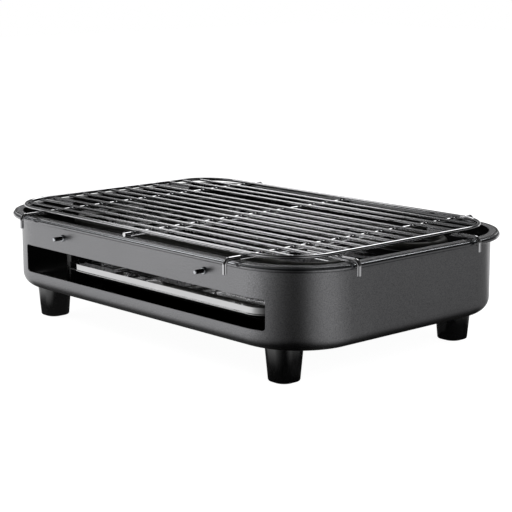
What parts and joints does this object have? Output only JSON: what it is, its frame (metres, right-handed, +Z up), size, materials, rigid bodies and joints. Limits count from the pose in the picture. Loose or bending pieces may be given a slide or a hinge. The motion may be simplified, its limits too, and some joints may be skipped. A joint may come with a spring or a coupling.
{
  "type": "electric fish roaster",
  "caption": "Long table-top electric roaster: round-cornered steel tub on feet, wire net hooked over the rim, bent heating element under it and a fat tray that slides out of a front slot.",
  "frame": {"origin": "on the table, at the centre of the four feet", "axes": "+X along the tub's length, away from the inlet end; +Y to the long back wall, away from the slot that the tray slides out of; +Z up"},
  "size_m": [0.432, 0.281, 0.1009],
  "materials": {
    "tub_enamel": "satin charcoal coating with a fine speckle, black inside",
    "foot_plastic": "polished black moulding",
    "fastener_steel": "bright zinc plate",
    "rod_steel": "bright drawn steel with dulled shanks",
    "collar_steel": "bright zinc plate",
    "element_sheath": "dark olive oxidised sheath",
    "terminal_steel": "plain steel",
    "seal_ceramic": "matt ceramic",
    "shield_sheet": "bright aluminised sheet",
    "tray_steel": "polished",
    "runner_steel": "black oxide",
    "housing_plastic": "fine-textured black moulding",
    "socket_plastic": "matt black moulding",
    "pin_metal": "nickel plate",
    "net_frame_chrome": "polished plate",
    "net_rod_chrome": "polished plate",
    "net_wire_chrome": "polished plate"
  },
  "bodies": {
    "roaster": {"body_tub": "tub_enamel", "foot_front_left": "foot_plastic", "foot_front_right": "foot_plastic", "foot_back_left": "foot_plastic", "foot_back_right": "foot_plastic", "foot_washers": "fastener_steel", "foot_screws": "fastener_steel", "support_rod_left": "rod_steel", "support_rod_right": "rod_steel", "rod_collars": "collar_steel", "heating_element": "element_sheath", "element_terminals": "terminal_steel", "element_seals": "seal_ceramic", "element_flange": "shield_sheet", "flange_screws": "fastener_steel", "flange_nuts": "fastener_steel", "end_shield": "shield_sheet", "tray_runner_left": "runner_steel", "tray_runner_right": "runner_steel", "floor_rivets": "fastener_steel", "inlet_housing": "housing_plastic", "inlet_socket": "socket_plastic", "inlet_pins": "pin_metal", "housing_screws": "fastener_steel", "housing_nuts": "fastener_steel", "earth_screw": "fastener_steel", "earth_nut": "fastener_steel"},
    "tray": {"fat_tray": "tray_steel"},
    "net": {"net_frame": "net_frame_chrome", "net_rods": "net_rod_chrome", "net_cross_wire_left": "net_wire_chrome", "net_cross_wire_centre": "net_wire_chrome", "net_cross_wire_right": "net_wire_chrome", "net_hooks_left": "net_wire_chrome", "net_hooks_right": "net_wire_chrome"}
  },
  "joints": [
    {"name": "tray_slide", "type": "slide", "parent": "roaster", "child": "tray", "axis": [0, -1, 0], "range_m": [0, 0.19]},
    {"name": "net_lift", "type": "slide", "parent": "roaster", "child": "net", "axis": [0, 0, 1], "range_m": [0, 0.06]}
  ]
}
